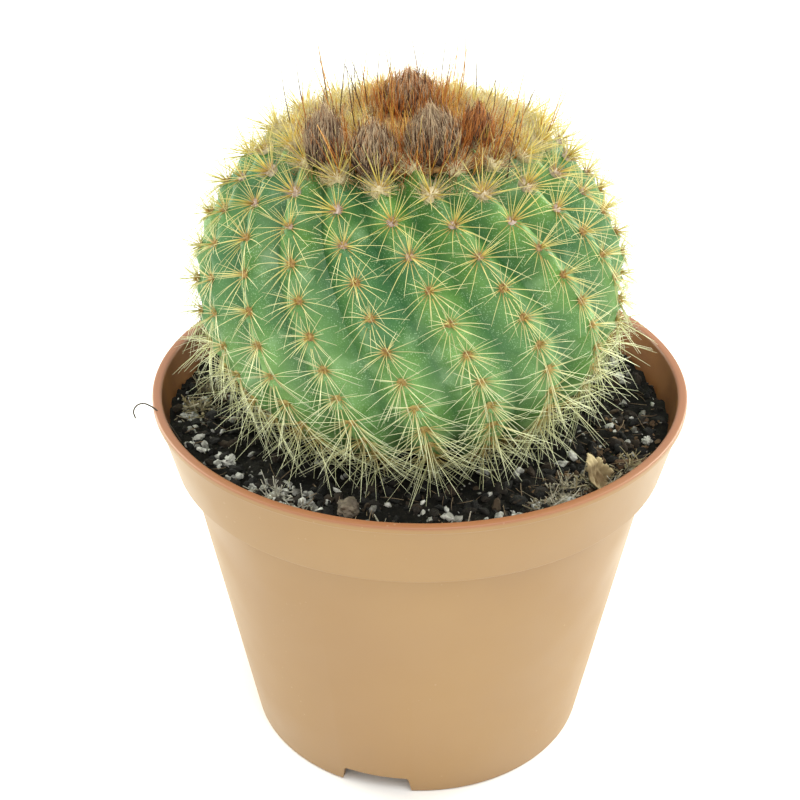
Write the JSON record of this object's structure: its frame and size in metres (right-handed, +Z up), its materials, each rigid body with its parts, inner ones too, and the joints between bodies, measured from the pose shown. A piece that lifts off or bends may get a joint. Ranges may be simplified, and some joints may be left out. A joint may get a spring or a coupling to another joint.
{
  "type": "potted round cactus",
  "caption": "Ribbed globe cactus with rows of fine spines and woolly buds on its crown, in a round tapered plastic nursery pot of peat mix",
  "frame": {"origin": "on the pot's axis, in the plane of the foot ring that the pot stands on", "axes": "+Z up the pot's axis through the cactus; -Y towards the front, the side with the three front buds and the front drainage notch; +X to the right seen from the front"},
  "size_m": [0.12, 0.12, 0.1591],
  "materials": {
    "terracotta_plastic": "satin",
    "peat": "matte",
    "green_skin": "satin",
    "crown_wool": "matte",
    "bud_fur": "matte",
    "spine": "satin",
    "perlite": "matte",
    "bark": "matte",
    "stone": "matte",
    "dead_leaf": "matte"
  },
  "bodies": {
    "root": {"pot": "terracotta_plastic", "soil": "peat", "stem": "green_skin", "crown_wool": "crown_wool", "bud_front_left": "bud_fur", "bud_front": "bud_fur", "bud_front_right": "bud_fur", "bud_right": "bud_fur", "bud_back": "bud_fur", "spine_row_01": "spine", "spine_row_02": "spine", "spine_row_03": "spine", "spine_row_04": "spine", "spine_row_05": "spine", "spine_row_06": "spine", "spine_row_07": "spine", "spine_row_08": "spine", "spine_row_09": "spine", "spine_row_10": "spine", "spine_row_11": "spine", "spine_row_12": "spine", "spine_row_13": "spine", "spine_row_14": "spine", "spine_row_15": "spine", "spine_row_16": "spine", "spine_row_17": "spine", "spine_row_18": "spine", "spine_row_19": "spine", "perlite_01": "perlite", "perlite_02": "perlite", "perlite_03": "perlite", "perlite_04": "perlite", "perlite_05": "perlite", "perlite_06": "perlite", "perlite_07": "perlite", "perlite_08": "perlite", "perlite_09": "perlite", "perlite_10": "perlite", "perlite_11": "perlite", "perlite_12": "perlite", "perlite_13": "perlite", "perlite_14": "perlite", "bark_chip_1": "bark", "bark_chip_2": "bark", "bark_chip_3": "bark", "bark_chip_4": "bark", "pebble": "stone", "dry_leaf_flake": "dead_leaf"}
  },
  "joints": []
}
